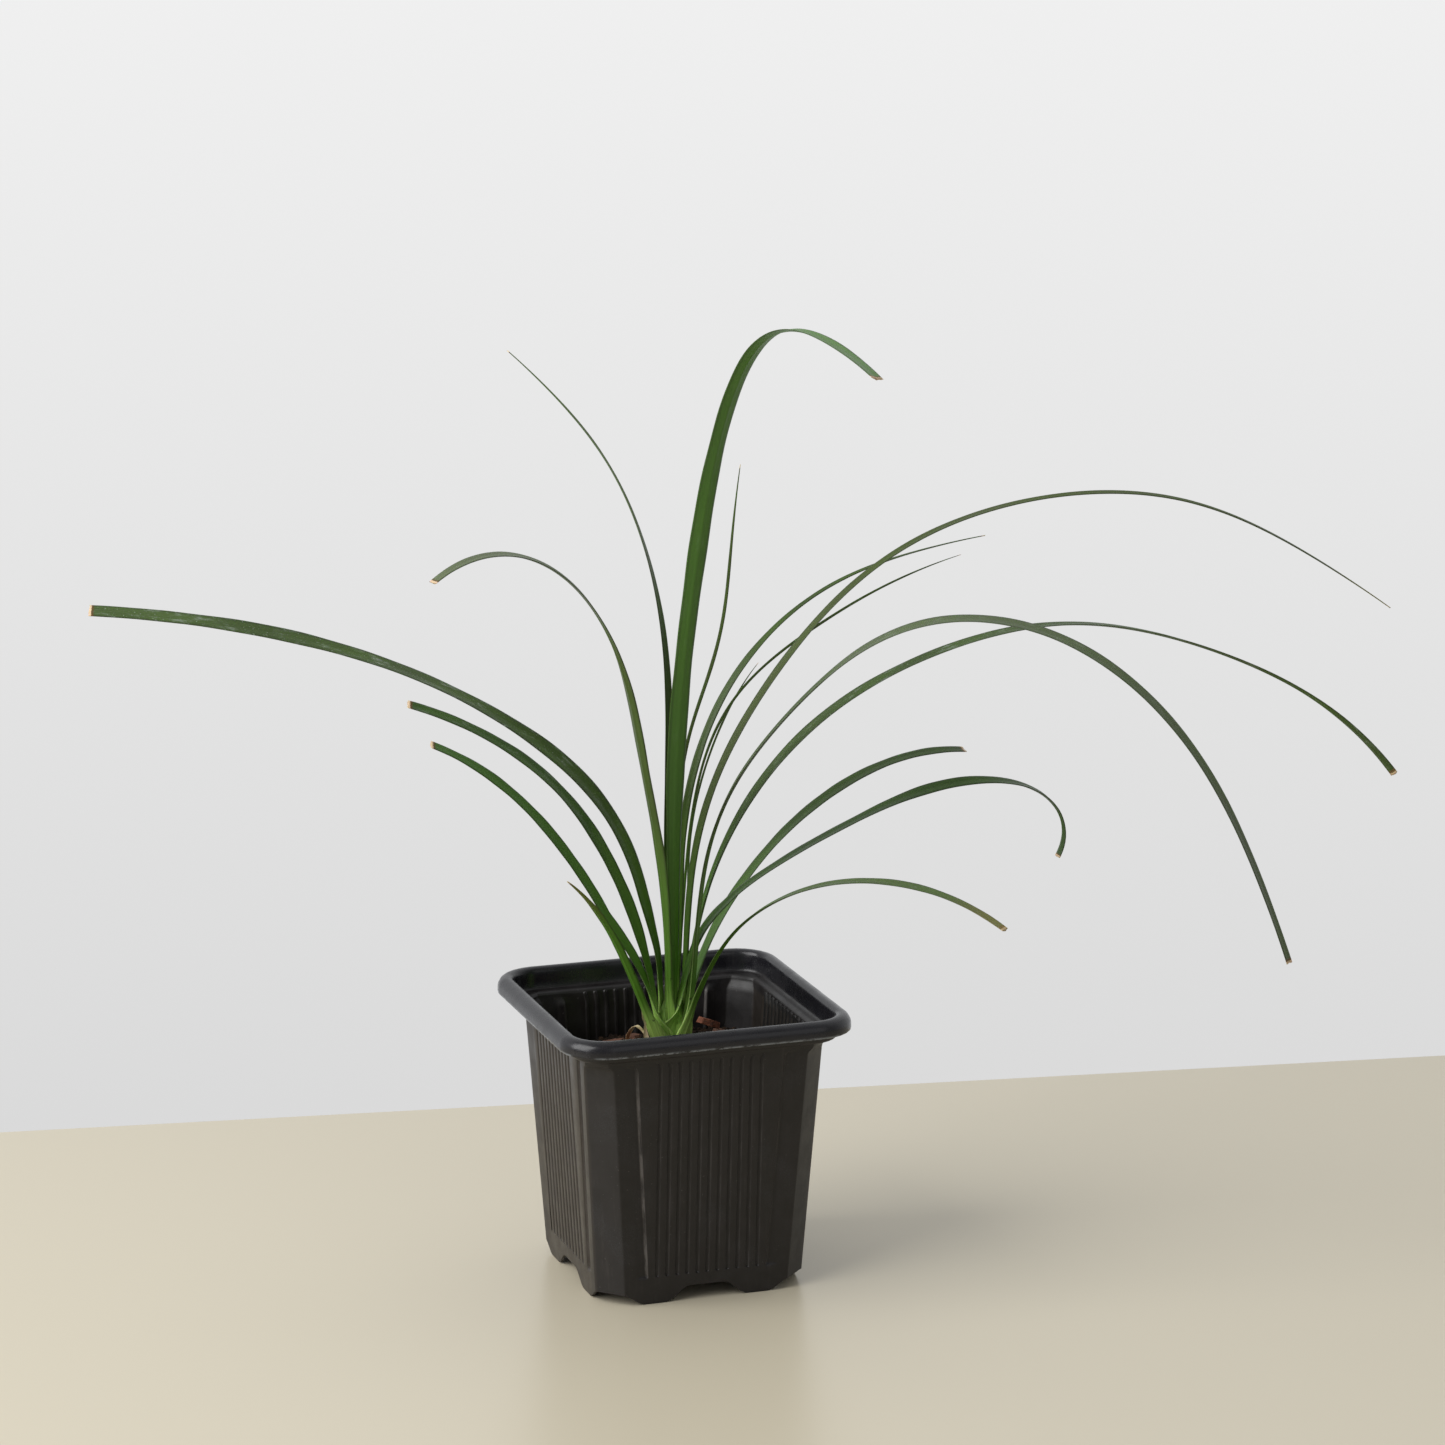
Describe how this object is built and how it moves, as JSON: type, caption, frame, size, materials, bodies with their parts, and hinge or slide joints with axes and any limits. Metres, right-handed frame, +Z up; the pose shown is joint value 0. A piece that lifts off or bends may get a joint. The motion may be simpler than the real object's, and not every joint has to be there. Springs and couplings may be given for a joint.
{
  "type": "potted ponytail palm",
  "caption": "Young ponytail palm with narrow, channelled, arching strap leaves rising from a root crown, growing in a square, tapered, ribbed plastic nursery pot filled with bark potting soil.",
  "frame": {"origin": "middle of the whole plant's footprint, on the surface the pot stands on; the pot's own axis is 28 mm towards -X and 31 mm towards +Y of it", "axes": "+Z up; the pot's sides are parallel to X and Y; +X towards the longest leaves, -Y towards the front"},
  "size_m": [0.4226, 0.2514, 0.3307],
  "materials": {
    "pot_plastic": "satin moulded polypropylene, black",
    "soil": "matt, moist peat and fine bark",
    "crown": "fresh yellow-green plant tissue",
    "leaf": "waxy living leaf, mid to dark green",
    "dried_sheath": "dry, matt tan",
    "bark": "matt reddish-brown bark"
  },
  "bodies": {
    "root": {"pot": "pot_plastic", "potting_soil": "soil", "root_crown": "crown", "leaf_01": "leaf", "leaf_02": "leaf", "leaf_03": "leaf", "leaf_04": "leaf", "leaf_05": "leaf", "leaf_06": "leaf", "leaf_07": "leaf", "leaf_08": "leaf", "leaf_09": "leaf", "leaf_10": "leaf", "leaf_11": "leaf", "leaf_12": "leaf", "leaf_13": "leaf", "leaf_14": "leaf", "leaf_15": "leaf", "leaf_16": "leaf", "leaf_17": "leaf", "dried_sheath": "dried_sheath", "bark_chip_01": "bark", "bark_chip_02": "bark", "bark_chip_03": "bark", "bark_chip_04": "bark", "bark_chip_05": "bark", "bark_chip_06": "bark", "bark_chip_07": "bark", "bark_chip_08": "bark", "bark_chip_09": "bark", "bark_chip_10": "bark", "bark_chip_11": "bark"}
  },
  "joints": []
}
